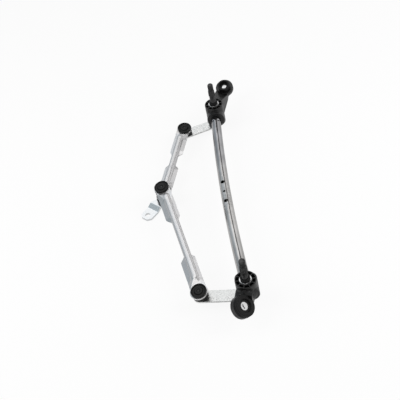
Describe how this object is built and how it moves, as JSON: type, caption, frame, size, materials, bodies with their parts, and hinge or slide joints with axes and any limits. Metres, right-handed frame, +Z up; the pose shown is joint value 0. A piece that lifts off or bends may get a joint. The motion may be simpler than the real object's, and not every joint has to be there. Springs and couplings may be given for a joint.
{
  "type": "wiper linkage",
  "caption": "Windscreen wiper linkage: bowed cross tube with plastic bearing housings, spindles, levers, pressed link rods on ball joints and a joggled motor crank.",
  "frame": {"origin": "on the near wiper spindle's axis, level with the top of its bearing tower", "axes": "+Z up along the wiper spindles, +Y from the near spindle to the far spindle, the levers and rods on the -X side"},
  "size_m": [0.2102, 0.5655, 0.1088],
  "materials": {
    "tube_zinc": "bright zinc plate, smooth",
    "lever_zinc": "zinc plate, fine grain",
    "rod_zinc": "blue-passivated zinc plate",
    "crank_zinc": "bright zinc plate",
    "sleeve_zinc": "zinc plate",
    "bright_washer": "bright, smooth",
    "dark_steel": "phosphated, dull",
    "bush_bronze": "sintered, oiled",
    "housing_plastic": "glass-filled moulding",
    "socket_plastic": "moulded, slight sheen",
    "rubber": "dull moulded rubber"
  },
  "bodies": {
    "frame": {"frame_tube": "tube_zinc", "near_bearing_housing": "housing_plastic", "far_bearing_housing": "housing_plastic", "near_grommet": "rubber", "far_grommet": "rubber", "near_grommet_sleeve": "sleeve_zinc", "far_grommet_sleeve": "sleeve_zinc", "near_upper_bush": "bush_bronze", "near_lower_bush": "bush_bronze", "far_upper_bush": "bush_bronze", "far_lower_bush": "bush_bronze"},
    "near_spindle": {"near_spindle": "dark_steel", "near_lever": "lever_zinc", "near_lever_ball": "dark_steel", "near_top_washer": "bright_washer", "near_retaining_ring": "dark_steel", "near_shaft_seal": "rubber", "near_lower_washer": "lever_zinc"},
    "far_spindle": {"far_spindle": "dark_steel", "far_lever": "lever_zinc", "far_lever_ball": "dark_steel", "far_top_washer": "bright_washer", "far_retaining_ring": "dark_steel", "far_shaft_seal": "rubber", "far_lower_washer": "lever_zinc"},
    "near_rod": {"near_rod": "rod_zinc", "near_rod_lever_socket": "socket_plastic", "near_rod_crank_socket": "socket_plastic", "crank_upper_ball": "dark_steel"},
    "far_rod": {"far_rod": "rod_zinc", "far_rod_lever_socket": "socket_plastic", "far_rod_crank_socket": "socket_plastic"},
    "crank": {"motor_crank": "crank_zinc", "crank_ball_stud": "dark_steel"}
  },
  "joints": [
    {"name": "near_spindle_turn", "type": "hinge", "parent": "frame", "child": "near_spindle", "pos_m": [0, 0, 0], "axis": [0, 0, 1], "range_deg": [-40, 30]},
    {"name": "far_spindle_turn", "type": "hinge", "parent": "frame", "child": "far_spindle", "pos_m": [0, 0.43, 0], "axis": [0, 0, 1], "range_deg": [-43.1, 32.4]},
    {"name": "near_rod_swing", "type": "hinge", "parent": "near_spindle", "child": "near_rod", "pos_m": [-0.07622, 0.01344, -0.02885], "axis": [0, 0, 1], "range_deg": [-33.4, 44.5]},
    {"name": "far_rod_swing", "type": "hinge", "parent": "far_spindle", "child": "far_rod", "pos_m": [-0.06487, 0.41407, -0.03585], "axis": [0, 0, 1], "range_deg": [-32.8, 43.7]},
    {"name": "crank_swing", "type": "hinge", "parent": "far_rod", "child": "crank", "pos_m": [-0.118, 0.2516, -0.04085], "axis": [0, 0, 1], "continuous": true}
  ],
  "couplings": [
    {"joint": "far_spindle_turn", "follows": "near_spindle_turn", "ratio": 1.075},
    {"joint": "near_rod_swing", "follows": "near_spindle_turn", "ratio": -1.1097},
    {"joint": "far_rod_swing", "follows": "near_spindle_turn", "ratio": -1.0877}
  ]
}
